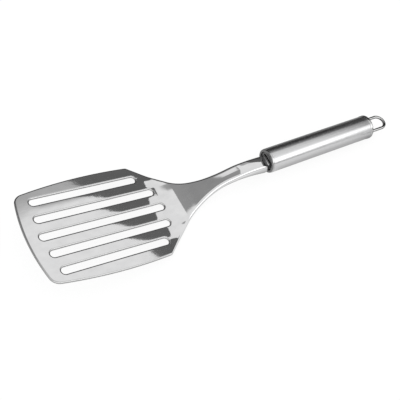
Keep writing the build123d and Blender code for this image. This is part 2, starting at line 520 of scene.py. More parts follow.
class Pattern:
    """Builds one material's nodes, each link made by the name of its socket."""

    def __init__(self, name: str) -> None:
        """Makes an empty material with its output and its shader.

        Args:
            name: the material's name.
        """
        self.material = bpy.data.materials.new(name)
        self.material.use_nodes = True
        self.tree = self.material.node_tree
        self.shader = self.tree.nodes["Principled BSDF"]

    def add(self, kind: str, inputs: dict | None = None, **settings: object) -> bpy.types.Node:
        """Adds a node.

        Args:
            kind: the node's type.
            inputs: by socket name or number, a value or another node's output.
            settings: the node's own settings.

        Returns:
            The node.
        """
        node = self.tree.nodes.new(kind)
        for name, value in settings.items():
            setattr(node, name, value)
        self.feed(node, inputs or {})
        return node

    def feed(self, node: bpy.types.Node, inputs: dict) -> None:
        """Sets a node's sockets, or links them where the value is another node's output.

        Args:
            node: the node.
            inputs: by socket name or number, a value or another node's output.
        """
        for name, value in inputs.items():
            if isinstance(value, Socket):
                self.tree.links.new(value, node.inputs[name])
            else:
                node.inputs[name].default_value = value

    def place(self, scale: tuple[float, float, float], turn: float = 0.0) -> Socket:
        """The object's own coordinates, turned about Y into the tool's line and scaled.

        Args:
            scale: how often a pattern repeats to the metre along, across and up.
            turn: the turn about Y, in radians.

        Returns:
            The socket with the coordinates.
        """
        where = self.add("ShaderNodeTexCoord").outputs["Object"]
        leaned = self.add("ShaderNodeMapping", {"Vector": where, "Rotation": (0.0, turn, 0.0)}).outputs[0]
        return self.add("ShaderNodeMapping", {"Vector": leaned, "Scale": scale}).outputs[0]

    def noise(self, where: Socket, detail: float, rough: float = 0.5) -> Socket:
        """A soft noise read at a place."""
        inputs = {"Vector": where, "Scale": 1.0, "Detail": detail, "Roughness": rough}
        return self.add("ShaderNodeTexNoise", inputs).outputs["Fac"]

    def between(self, amount: Socket, low: float, high: float) -> Socket:
        """An amount that ran from 0 to 1, stretched to run from low to high."""
        node = self.add("ShaderNodeMapRange", {"Value": amount, "To Min": low, "To Max": high})
        return node.outputs[0]

    def tint(self, amount: Socket, first: tuple | Socket, second: tuple) -> Socket:
        """A colour between two, each a tuple or another node's output."""
        pair = [colour if isinstance(colour, Socket) else (*colour, 1.0) for colour in (first, second)]
        return self.add("ShaderNodeMix", {0: amount, 6: pair[0], 7: pair[1]}, data_type="RGBA").outputs[2]

    def cut_edge_and_shade(self) -> Socket:
        """How much a place has the sheet's bare cut edge, and on the caps their painted shade."""
        return self.add("ShaderNodeAttribute", attribute_name="cut_edge_and_shade").outputs["Fac"]

    def blend(self, amount: Socket, first: Socket | float, second: float) -> Socket:
        """A number that goes from the first to the second."""
        return self.add("ShaderNodeMix", {0: amount, 2: first, 3: second}, data_type="FLOAT").outputs[0]

    def relief(self, height: Socket, depth: float, under: Socket | None = None) -> Socket:
        """A fine relief of a depth in metres, laid over another one where there is one.

        Args:
            height: the pattern that is raised.
            depth: how far it is raised, in metres.
            under: the relief under it.

        Returns:
            The socket with the normals.
        """
        inputs = {"Height": height, "Distance": depth, "Strength": 1.0}
        if under is not None:
            inputs["Normal"] = under
        return self.add("ShaderNodeBump", inputs).outputs[0]


@dataclass(frozen=True)
class PolishedSheet:
    """Rolled stainless sheet, polished after stamping: a faint long grain and a soft mottle."""

    name: str = "polished_sheet"
    dark: Colour = (0.62, 0.62, 0.625)
    light: Colour = (0.78, 0.78, 0.78)
    edge: Colour = (0.46, 0.46, 0.46)
    roughness: tuple[float, float] = (0.02, 0.05)
    edge_roughness: float = 0.2
    mottle_scale: tuple[float, float, float] = (90, 160, 160)
    mottle_depth: float = 0.000008
    grain_scale: tuple[float, float, float] = (60, 1800, 1800)
    grain_depth: float = 0.0000004

    def material(self, lean: float) -> bpy.types.Material:
        """Makes the finish, its grain along a tool that leans by an angle.

        Args:
            lean: the tool's lean, in radians.

        Returns:
            The material.
        """
        made = Pattern(self.name)
        mottle = made.noise(made.place(self.mottle_scale, lean), 3, 0.6)
        grain = made.noise(made.place(self.grain_scale, lean), 4, 0.6)
        made.feed(made.shader, {
            "Metallic": 1.0,
            "Base Color": made.tint(made.cut_edge_and_shade(), made.tint(mottle, self.dark, self.light), self.edge),
            "Roughness": made.blend(made.cut_edge_and_shade(), made.between(grain, *self.roughness), self.edge_roughness),
            "Normal": made.relief(mottle, self.mottle_depth, made.relief(grain, self.grain_depth)),
        })
        return made.material


@dataclass(frozen=True)
class BrushedTube:
    """Stainless tube brushed round its girth, so that light spreads along it and stays crisp across it."""

    name: str = "brushed_tube"
    colour: Colour = (0.66, 0.66, 0.665)
    spread: tuple[float, float] = (0.94, 1.05)
    roughness: float = 0.24
    anisotropy: float = 1.0
    ring_scale: tuple[float, float, float] = (5000, 30, 30)
    ring_depth: float = 0.000003

    def material(self, lean: float) -> bpy.types.Material:
        """Makes the finish, its rings square to a tool that leans by an angle.

        Args:
            lean: the tool's lean, in radians.

        Returns:
            The material.
        """
        made = Pattern(self.name)
        rings = made.noise(made.place(self.ring_scale, lean), 3, 0.6)
        dark, light = (tuple(c * share for c in self.colour) for share in self.spread)
        made.feed(made.shader, {
            "Metallic": 1.0,
            "Base Color": made.tint(rings, dark, light),
            "Roughness": self.roughness,
            "Anisotropic": self.anisotropy,
            "Tangent": made.add("ShaderNodeTangent", direction_type="UV_MAP").outputs[0],
            "Normal": made.relief(rings, self.ring_depth),
        })
        return made.material


@dataclass(frozen=True)
class SatinSteel:
    """Plain steel with a fine grain, for the turned caps, the drawn wire and the weld beads."""

    name: str
    dark: Colour
    light: Colour
    roughness: tuple[float, float]
    grain: tuple[float, float, float]
    depth: float
    # Painted shade: a dark colour and roughness that the caps take where their mask is set, on the front cap's
    # lip front, recess, faces and slot and on the rear cap's back rim and back face.
    painted_shade: Colour = (0.24, 0.24, 0.24)
    painted_shade_roughness: float = 0.45

    def material(self, lean: float) -> bpy.types.Material:
        """Makes the finish, its grain along a tool that leans by an angle.

        Args:
            lean: the tool's lean, in radians.

        Returns:
            The material.
        """
        made = Pattern(self.name)
        grain = made.noise(made.place(self.grain, lean), 4, 0.6)
        plain = made.between(grain, *self.roughness)
        # Where the mask is set, the colour and roughness give way to the painted shade.
        made.feed(made.shader, {
            "Metallic": 1.0,
            "Base Color": made.tint(made.cut_edge_and_shade(), made.tint(grain, self.dark, self.light), self.painted_shade),
            "Roughness": made.blend(made.cut_edge_and_shade(), plain, self.painted_shade_roughness),
            "Normal": made.relief(grain, self.depth),
        })
        return made.material


CAP_DARK, CAP_LIGHT, CAP_GRAIN = (0.5, 0.5, 0.5), (0.62, 0.62, 0.62), (900, 60, 60)
PRESSED_CAP = SatinSteel("pressed_cap", CAP_DARK, CAP_LIGHT, (0.1, 0.2), CAP_GRAIN, 0.000005)
# The rear cap's painted shade is nearly black, drawn as a dark outline on its back rim and back face.
SPUN_CAP = SatinSteel(
    "spun_cap", CAP_DARK, CAP_LIGHT, (0.1, 0.2), CAP_GRAIN, 0.000005,
    painted_shade=(0.09, 0.09, 0.09), painted_shade_roughness=0.3,
)
POLISHED_WIRE = SatinSteel(
    "polished_wire", (0.44, 0.44, 0.44), (0.54, 0.54, 0.54), (0.03, 0.07), (100, 100, 100), 0.000003
)
WELD_BEAD = SatinSteel(
    "weld_bead", (0.25, 0.24, 0.23), (0.45, 0.44, 0.43), (0.3, 0.5), (900, 900, 900), 0.00003
)


class Slot(Enum):
    """The part's material slots, one of which each piece takes."""

    SHEET = "polished_sheet"
    CAP = "pressed_cap"
    TUBE = "brushed_tube"
    WIRE = "polished_wire"


def dress_node(node: str, material: bpy.types.Material) -> None:
    """Gives a CAD node one material.

    Args:
        node: the node's name in the frame.
        material: what it is dressed in.
    """
    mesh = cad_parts[node].data
    mesh.materials.clear()
    mesh.materials.append(material)


@dataclass
class Piece:
    """A visible piece, which is built and dressed in the place of the CAD node of its name."""

    lie: Lie
    node: ClassVar[str]
    finish_slot: ClassVar[Slot]
    finish: ClassVar[PolishedSheet | BrushedTube | SatinSteel]

    def build(self) -> bpy.types.Object:
        """Makes the piece's mesh; each piece has its own way."""
        raise NotImplementedError

    def dress(self, piece: bpy.types.Object) -> None:
        """Gives the piece's finish to its mesh and to the CAD node that it stands in for.

        Args:
            piece: what build made.
        """
        material = self.finish.material(self.lie.lean)
        piece.data.materials.append(material)
        dress_node(self.node, material)


@dataclass
class Sheet(Piece):
    """The stamped and pressed sheet: slotted blade, rising neck with turned-down sides, and tang.

    Its plan lies in the tool's frame, x from the middle of the front edge and y across. The underside is
    the same plan a thickness lower, and the rim joins the two all round each slot and the outline.
    """

    node: ClassVar[str] = "blade"
    finish_slot: ClassVar[Slot] = Slot.SHEET
    finish: ClassVar[PolishedSheet] = PolishedSheet()
    thickness: float = 1.8
    rim_round: float = 1.4
    low_round: float = 0.35
    # The plan of the blade and the neck
    front_bow: float = 5.6
    front_half: float = 41.9
    corner_round: float = 9.5
    shoulder: tuple[float, float] = (112.7, 46.6)
    side_bow: float = 3.15
    shoulder_round: float = 3.5
    throat: tuple[float, float] = (162.2, 6.9)
    throat_round: float = 70.7
    slot_half: float = 3.2
    slot_pitch: float = 16.5
    slot_ends: tuple[tuple[float, float], ...] = ((11.2, 128.5), (13.5, 125.9), (15.8, 115.8))
    join_x: float = 133.0
    join_shares: tuple[float, ...] = (0.0, 0.42, 0.78, 1.0)
    # The side view: the main bend, the rise and the crest
    bend_x: float = 144.8
    rise: float = math.radians(34.2)
    rise_round: float = 53.0
    crest_round: float = 102.0
    # The pressing: crowned strips and an early rise that starts at another place on each strip
    crown: float = 0.044
    crown_run: tuple[tuple[float, float], ...] = ((14, 24), (112, 124))
    crown_side: tuple[float, float] = (33, 36)
    early_slope: float = math.radians(2.7)
    early_lines: tuple[float, ...] = (-38, -29, -19.5, -13.5, -3, 3, 11, 22, 29, 38)
    early_starts: tuple[float, ...] = (128, 124.5, 124.5, 122.5, 122.5, 116, 116, 121, 121.5, 128)
    early_usual: float = 115.5
    early_late: tuple[tuple[float, float, float], ...] = ((9, 24, 4.5), (27, 38, 8.0))
    early_shares: tuple[tuple[float, float, float], ...] = (
        (-20, -24, -0.4), (-28, -38, -0.6), (20, 24, 0.25), (28, 38, -1.25)
    )
    early_end: float = 136.0
    early_fade: tuple[float, float] = (140, 172)
    early_soft: float = 3.0
    # The pressing of the neck, each form with the stretch of the tool over which it comes and goes
    dish: float = 0.0003
    dish_run: tuple[tuple[float, float], ...] = ((132, 142), (158, 172))
    far_dish: float = 0.0018
    far_dish_run: tuple[tuple[float, float], ...] = ((164, 178), (196, 208))
    far_droop: float = 0.012
    far_droop_run: tuple[float, float] = (195, 206)
    neck_lift: float = 0.45
    neck_lift_run: tuple[float, float] = (186, 207)
    neck_drop: float = 0.75
    neck_drop_from: float = 208.0
    neck_drop_length: float = 20.0
    neck_twist: float = 0.015
    neck_twist_run: tuple[float, float] = (178, 190)
    rolled_end: float = 0.3
    rolled_length: float = 1.1
    # The turned-down sides: how their bends grow, and the line of their lower edge
    side_grows: tuple[float, float] = (108, 150)
    side_bend: float = 3.3
    side_bend_loss: float = 1.2
    side_bend_loss_run: tuple[float, float] = (165, 225)
    side_inner_bend: float = 1.2
    side_low_growth: float = 0.35
    face_gap: float = 0.12
    flange_points: tuple[tuple[float, float], ...] = (
        (112.7, -1.8), (126.0, -2.65), (146.4, -2.65), (190.6, 26.054)
    )
    flange_rounds: tuple[float, ...] = (100.0, 45.0, 92.0)
    flange_end: float = 9.837
    # The end of the neck and the tang
    into_cap: float = 1.2
    notch: float = 1.3
    notch_run: tuple[float, float] = (3.4, 2.6)
    lean_from: float = 190.0
    tang_half: float = 5.4
    tang_length: float = 26.0
    tang_corner: float = 3.0
    # The cut edges and the steps of the grids
    low_places: tuple[int, int] = (12, 22)
    cut_fade: tuple[float, float] = (108, 116)
    slot_steps: tuple[int, int, int] = (18, 90, 18)
    outline_steps: tuple[int, int, int] = (18, 90, 46)
    neck_steps: int = 110
    across_steps: int = 14

    @property
    def end(self) -> tuple[float, float]:
        """The place of the neck's top face where the neck ends, just before the front cap's face."""
        return self.lie.handle.tool_point(self.into_cap, self.lie.handle.tang_height)

    def top_line(self) -> BentLine:
        """The top face seen from the side, from the front edge to the neck's end.

        Returns:
            The line: flat, rising steeply, and then level with the handle's slope.
        """
        slope, steep = math.tan(self.lie.handle.slope), math.tan(self.rise)
        end_x, end_z = self.end
        crest = (end_z - end_x * slope + self.bend_x * steep) / (steep - slope)
        corners = ((0.0, 0.0), (self.bend_x, 0.0), (crest, (crest - self.bend_x) * steep), (end_x, end_z))
        return BentLine(corners, (self.rise_round, self.crest_round))

    def strip_crown(self, x: np.ndarray, off: np.ndarray) -> np.ndarray:
        """The crown of the strips between the slots: a sum of a second and a fourth power across each.

        Args:
            x: positions along the tool.
            off: distances from the middle plane.

        Returns:
            The heights that the crown adds.
        """
        strip = (off / self.slot_pitch % 1 - 0.5) / (0.5 - self.slot_half / self.slot_pitch)
        along = window(x, *self.crown_run) * (1 - smooth(off, *self.crown_side))
        return self.crown * (1 - 0.5 * strip**2 - 0.5 * strip**4) * along

    def early_rise(self, x: np.ndarray, y: np.ndarray) -> np.ndarray:
        """The slight rise before the main bend: a slope between two soft corners, fading on the neck.

        Where a strip starts to rise late it rises faster, so that all of them reach the same height.

        Args:
            x: positions along the tool.
            y: positions across it.

        Returns:
            The heights that the rise adds.
        """

        def ramp(t: np.ndarray) -> np.ndarray:
            """A soft corner, (t + sqrt(t^2 + w^2)) / 2: nothing before 0 and t after it."""
            return (t + np.sqrt(t**2 + self.early_soft**2)) / 2

        start = np.interp(y, self.early_lines, self.early_starts)
        usual = stepped(np.abs(y), self.early_usual, self.early_late)
        share = (self.early_end - usual) / (self.early_end - start) * stepped(y, 1.0, self.early_shares)
        rise = (ramp(x - start) - ramp(x - self.early_end)) * share
        return rise * self.early_slope * (1 - smooth(x, *self.early_fade))

    def neck_form(self, x: np.ndarray, y: np.ndarray) -> np.ndarray:
        """What pressing does to the neck: a dish across it, a twist, a lift, a dip and a rolled end.

        The dishes are squares of y, and the dip is a square of how far x + y is past its start.

        Args:
            x: positions along the tool.
            y: positions across it.

        Returns:
            The heights that these add.
        """
        far = np.maximum(y, 0) ** 2
        dish = self.dish * y**2 * window(x, *self.dish_run)
        dish += self.far_dish * far * window(x, *self.far_dish_run)
        dish -= self.far_droop * far * smooth(x, *self.far_droop_run)
        drop = np.maximum((x + y - self.neck_drop_from) / self.neck_drop_length, 0) ** 2
        lift = self.neck_lift * smooth(x, *self.neck_lift_run) - self.neck_drop * drop
        lift += self.rolled_end * smooth(x, self.end[0] - self.rolled_length, self.end[0])
        return dish + lift + self.neck_twist * y * smooth(x, *self.neck_twist_run)

    def top(self, x: np.ndarray, y: np.ndarray) -> np.ndarray:
        """The height of the top face: the side view's line and what pressing does to a flat sheet.

        Args:
            x: positions along the tool.
            y: positions across it.

        Returns:
            The heights.
        """
        pressed = self.strip_crown(x, np.abs(y)) + self.early_rise(x, y) + self.neck_form(x, y)
        return self.top_line().height(x) + pressed

    def low(self, x: np.ndarray) -> np.ndarray:
        """The sheet's thickness measured straight down, which grows on the slope."""
        line = self.top_line()
        return line.height(x) - line.lowered(self.thickness).height(x)

    def lean_in(self, x: np.ndarray) -> np.ndarray:
        """How far the neck's sections lean, from upright on the blade to square at the neck's end."""
        return self.lie.handle.slope * smooth(x, self.lean_from, self.end[0])

    def flange_depth(self, x: np.ndarray) -> np.ndarray:
        """The depth of the turned-down sides under the top face, measured along the section's lean.

        The side's lower edge is a bent line of its own, and the depth is found by stepping towards it.

        Args:
            x: positions along the tool.

        Returns:
            The depths, never less than the sheet's own thickness.
        """
        handle = self.lie.handle
        tip = handle.tool_point(-handle.neck_gap, handle.tang_height - self.flange_end)
        edge = BentLine(self.flange_points + (tip,), self.flange_rounds)
        lean, top, plain = self.lean_in(x), self.top_line().height(x), self.low(x)
        depth = plain
        for _ in range(12):
            depth = (top - edge.height(x + depth * np.sin(lean))) / np.cos(lean)
        before, after = (self.end[0] - length for length in self.notch_run)
        depth -= self.notch * smooth(x, before, after)
        return np.where(x > self.shoulder[0], np.maximum(depth, plain), plain)

    def outline(self) -> tuple[Curve, Curve, Curve]:
        """Half of the outline, y above 0, with as many steps in each stretch as the grids beside it.

        Returns:
            The front edge as far as the last slot's line, the side round to the join, and the rest.
        """
        front_radius = (self.front_bow**2 + self.front_half**2) / (2 * self.front_bow)
        front = np.array([front_radius, 0.0])
        start = np.array([self.front_bow, self.front_half])
        end, throat = np.array(self.shoulder), np.array(self.throat)
        chord = np.linalg.norm(end - start)
        side_radius = (chord**2 / 4 + self.side_bow**2) / (2 * self.side_bow)
        out = np.array([start[1] - end[1], end[0] - start[0]]) / chord
        side = (start + end) / 2 - out * (side_radius - self.side_bow)
        r = self.corner_round
        corner = circles_meet(front, front_radius - r, side, side_radius - r, start)
        along = (throat - end) / np.linalg.norm(throat - end)
        inward = np.array([along[1], -along[0]])
        r = self.shoulder_round
        shoulder = circle_meets_line(side, side_radius - r, end + inward * r, along)
        reach = self.throat_round * math.tan(-math.atan2(along[1], along[0]) / 2)
        hollow = np.array([throat[0] + reach, throat[1] + self.throat_round])
        tips = [math.pi - math.asin(i * self.slot_pitch / front_radius) for i in range(len(self.slot_ends))]
        turns = [math.atan2(*(corner - front)[::-1]), math.atan2(*(corner - side)[::-1])]
        turns += [math.atan2(*(shoulder - side)[::-1]), math.atan2(-inward[1], -inward[0])]
        line_start, line_end = shoulder - inward * self.shoulder_round, throat - along * reach
        join = line_start + along * (self.join_x - line_start[0]) / along[0]
        edge = [spaced(arc(front, front_radius, a, b), self.across_steps) for a, b in zip(tips, tips[1:])]
        rounds = [arc(front, front_radius, tips[-1], turns[0])]
        rounds += [arc(corner, self.corner_round, turns[0], turns[1])]
        flank = [spaced(joined(rounds), self.outline_steps[0])]
        flank += [spaced(arc(side, side_radius, turns[1], turns[2]), self.outline_steps[1])]
        rounds = [arc(shoulder, self.shoulder_round, turns[2], turns[3]), straight(line_start, join, inward)]
        flank += [spaced(joined(rounds), self.outline_steps[2])]
        rest = [straight(join, line_end, inward)]
        rest += [arc(hollow, self.throat_round, turns[3] - math.pi, -math.pi / 2, hollow=True)]
        neck = np.array([self.end[0], throat[1]])
        rest += [straight(np.array([hollow[0], throat[1]]), neck, np.array([0.0, -1.0]))]
        return joined(edge), joined(flank), spaced(joined(rest), self.neck_steps)

    def slot(self, index: int, away: int = 1) -> Curve:
        """Half of a slot's outline, from its front tip round one side to its back tip.

        Args:
            index: the slot's number, 0 in the middle.
            away: 1 for the side away from the middle, -1 for the side towards it.

        Returns:
            The half outline, y above 0.
        """
        (start, end), y, r = self.slot_ends[index], index * self.slot_pitch, self.slot_half
        front = arc(np.array([start + r, 0]), r, math.pi, math.pi / 2, hollow=True)
        side = straight(np.array([start + r, r]), np.array([end - r, r]), np.array([0.0, 1.0]))
        back = arc(np.array([end - r, 0]), r, math.pi / 2, 0.0, hollow=True)
        half = joined([spaced(part, count) for part, count in zip((front, side, back), self.slot_steps)])
        return Curve(half.points * [1, away] + [0, y], half.inward * [1, away])

    def rim(self, curve: Curve, flanged: bool) -> tuple[np.ndarray, np.ndarray]:
        """The rim's section at each point of a curve: insets from the curve and depths under the top face.

        The section runs from the top face round the outer bend, down the wall, round the lower edge, up the
        inner wall and round the inner bend to the underside. On the slope its depths are stretched as the
        sheet's thickness is.

        Args:
            curve: the outline or a slot's edge.
            flanged: True where the side is turned down.

        Returns:
            The insets and the depths, each an array of points by places in the section.
        """
        x = curve.points[:, 0]
        plain = self.low(x)
        depth = self.flange_depth(x) if flanged else plain
        extra = depth - plain
        grown = smooth(x, *self.side_grows) if flanged else 0 * x
        loss = self.side_bend_loss * smooth(x, *self.side_bend_loss_run)
        bend = self.rim_round + grown * (self.side_bend - self.rim_round - loss)
        inner = np.minimum(self.side_inner_bend * grown, extra * 0.6)
        low, second = self.low_round + self.side_low_growth * grown, np.minimum(self.low_round, extra * 0.3)
        stretch = plain / self.thickness
        wide, shares = self.thickness, (0.15, 0.5, 0.85)
        turns = [(math.sin(a), 1 - math.cos(a)) for a in np.linspace(0, math.pi / 2, 9)]
        small = [(math.sin(a), 1 - math.cos(a)) for a in np.linspace(0, math.pi / 2, 5)]
        top_wall = np.minimum(stretch * bend, depth - low - 0.02)
        end_wall, rise = depth - low, plain + inner * stretch
        rows = [(bend + self.face_gap, 0 * x)]
        rows += [(bend * (1 - s), top_wall * c) for s, c in turns]
        rows += [(0 * x, top_wall + (end_wall - top_wall) * share) for share in shares]
        rows += [(low * c, end_wall + low * s) for s, c in small]
        rows += [(wide - second * (1 - s), depth - second * c) for s, c in small]
        rows += [(wide + 0 * x, depth - second + (rise - depth + second) * share) for share in shares]
        under = self.low(x + curve.inward[:, 0] * (wide + inner + self.face_gap))
        rows += [(wide + inner * c, rise + (under - rise) * s) for s, c in turns]
        rows += [(wide + inner + self.face_gap, under)]
        return np.stack([row[0] for row in rows], -1), np.stack([row[1] for row in rows], -1)

    def placed(self, plan: np.ndarray, depth: np.ndarray) -> np.ndarray:
        """Points of the world for points of the plan at depths under the top face.

        A depth goes straight down on the blade and square to the handle at the neck's end.

        Args:
            plan: an array of x and y.
            depth: an array of depths, one to each plan point.

        Returns:
            An array of world points in metres.
        """
        x, y = plan[..., 0], plan[..., 1]
        lean = self.lean_in(x)
        z = self.top(x, y) - depth * np.cos(lean)
        return self.lie.world(np.stack([x + depth * np.sin(lean), y, z], -1))

    def rim_grid(self, curve: Curve, flanged: bool) -> np.ndarray:
        """The rim all along a curve, as a grid of world points."""
        inset, depth = self.rim(curve, flanged)
        return self.placed(curve.points[:, None] + curve.inward[:, None] * inset[..., None], depth)

    def face_grids(self, under: bool) -> list[np.ndarray]:
        """The top face or the underside between the rims, in grids whose edges meet.

        Args:
            under: True for the underside.

        Returns:
            World grids for y above 0: one between each two slots, one outside the last, and the neck.
        """

        def inset(curve: Curve, flanged: bool) -> np.ndarray:
            """A curve's points moved to where the rim ends and this face begins."""
            return curve.inset(self.rim(curve, flanged)[0][:, -1 if under else 0])

        front, flank, rest = (inset(curve, True) for curve in self.outline())
        slots = [inset(self.slot(index), False) for index in range(len(self.slot_ends))]
        join = rest[0] * np.stack([np.ones(len(self.join_shares)), np.array(self.join_shares)], -1)
        plans = []
        for index, slot in enumerate(slots):
            behind = between(slot[-1], join[index], self.across_steps * 2)[1:]
            across = between(join[index], join[index + 1], self.across_steps)
            if index + 1 == len(slots):
                lead = between(slot[0], front[-1], self.across_steps)
                plans.append(filled(np.concatenate([slot, behind]), flank, lead, across))
                continue
            start = index * self.across_steps
            edge = front[start : start + self.across_steps + 1]
            other = inset(self.slot(index + 1, -1), False)
            ahead = between(edge[0], slot[0], self.across_steps)[:-1]
            other_ahead = between(edge[-1], other[0], self.across_steps)[:-1]
            other_behind = between(other[-1], join[index + 1], self.across_steps * 2)[1:]
            lower = np.concatenate([ahead, slot, behind])
            upper = np.concatenate([other_ahead, other, other_behind])
            plans.append(filled(lower, upper, edge, across))
        pairs = zip(self.join_shares, self.join_shares[1:])
        shares = np.concatenate([np.linspace(a, b, self.across_steps + 1) for a, b in pairs])
        shares = np.unique(shares.round(9))
        plans.append(np.stack([np.repeat(rest[:, :1], len(shares), axis=1), rest[:, 1:] * shares], -1))
        return [self.placed(plan, self.low(plan[..., 0]) * under) for plan in plans]

    def end_grids(self, rim: np.ndarray, top: np.ndarray, low: np.ndarray) -> list[np.ndarray]:
        """The end of the neck, between the two faces' last rows and across the turned-down side.

        Args:
            rim: the rim's grid, whose last row is the section at the neck's end.
            top: the top face's last grid.
            low: the underside's last grid.

        Returns:
            Two grids that close the half of the end.
        """
        section = rim[-1]
        half = len(section) // 2
        return [np.stack([top[-1], low[-1]], 1), np.stack([section[:half], section[: half - 1 : -1]], 1)]

    def tang_grids(self) -> list[np.ndarray]:
        """The tang: its rounded plan at the height of the neck's top, as a wall and two filled faces.

        Returns:
            Three world grids: the wall all round, the top and the underside.
        """
        handle, r = self.lie.handle, self.tang_corner
        start, end, half = self.into_cap - self.thickness, self.tang_length, self.tang_half
        corners = [(start, 0), (start, half), (end, half), (end, 0)]
        plan = rounded(corners, [0, r])
        plan = np.concatenate([plan, (plan * [1, -1])[::-1][1:]])
        small = self.face_gap
        heights = np.array([0, small, self.thickness - small, self.thickness])
        inset = np.array([small, 0, 0, small])
        middle = plan.mean(0)
        away = (plan - middle) / np.linalg.norm(plan - middle, axis=1, keepdims=True)
        ring = plan[:, None] - away[:, None] * inset[:, None]
        height = np.broadcast_to((handle.tang_height - heights)[None, :, None], ring.shape[:2] + (1,))
        wall = np.concatenate([ring, height], -1)
        core = np.concatenate([np.broadcast_to(middle, plan.shape), wall[:, :1, 2]], -1)
        lower = np.concatenate([np.broadcast_to(middle, plan.shape), wall[:, -1:, 2]], -1)
        grids = [wall, np.stack([core, wall[:, 0]], 1), np.stack([wall[:, -1], lower], 1)]
        return [self.lie.world_of_handle(grid) for grid in grids]

    def cut_share(self, outline: Curve, places: int) -> tuple[np.ndarray, np.ndarray]:
        """How much each place of a rim's section shows the bare cut edge: all of a slot's wall, and the
        outline's wall as far as the shoulder. Behind it only the lower edge of the turned-down side does.

        Args:
            outline: the outline's curve.
            places: the number of places in a section.

        Returns:
            The shares for a slot's section, and for the outline's points by places.
        """
        place = np.arange(places)
        wall = ((place > 1) & (place < places - 2)).astype(float)
        edge = ((place >= self.low_places[0]) & (place < self.low_places[1])).astype(float)
        turned_down = smooth(outline.points[:, :1], *self.cut_fade)
        return wall, wall * (1 - turned_down) + edge * turned_down

    def build(self) -> bpy.types.Object:
        """Makes the sheet as one mesh from the grids of both halves.

        Returns:
            The piece.
        """
        rims = [self.rim_grid(self.slot(index), False) for index in range(len(self.slot_ends))]
        rims += [self.rim_grid(self.slot(index, -1), False) for index in range(1, len(self.slot_ends))]
        outline = joined(list(self.outline()))
        around = self.rim_grid(outline, True)
        top, low = self.face_grids(False), self.face_grids(True)
        ends = self.end_grids(around, top[-1], low[-1])
        half = rims + [around] + top + low + ends
        slot_cut, outline_cut = self.cut_share(outline, around.shape[1])
        cut = [slot_cut] * len(rims) + [outline_cut] + [0.0] * (len(top) + len(low) + len(ends))
        tang = self.tang_grids()
        grids = half + [mirrored(grid) for grid in half] + tang
        return woven(grids, "polished_sheet_body", cut_edge_and_shade=cut * 2 + [0.0] * len(tang))


def turned(lie: Lie, profile: np.ndarray, steps: int = 144) -> np.ndarray:
    """A profile turned about the handle's axis: each point (s, r) becomes s along and r (cos a, sin a).

    Args:
        lie: how the tool lies.
        profile: points s along the axis and r away from it, in the handle's frame.
        steps: the number of steps round the axis.

    Returns:
        A grid of world points, angles by profile points, whose first and last rows are the same.
    """
    angle = np.linspace(0, 2 * math.pi, steps + 1)[:, None]
    s, r = profile[:, 0], profile[:, 1]
    return lie.world_of_handle(np.stack([s + 0 * angle, r * np.cos(angle), r * np.sin(angle)], -1))


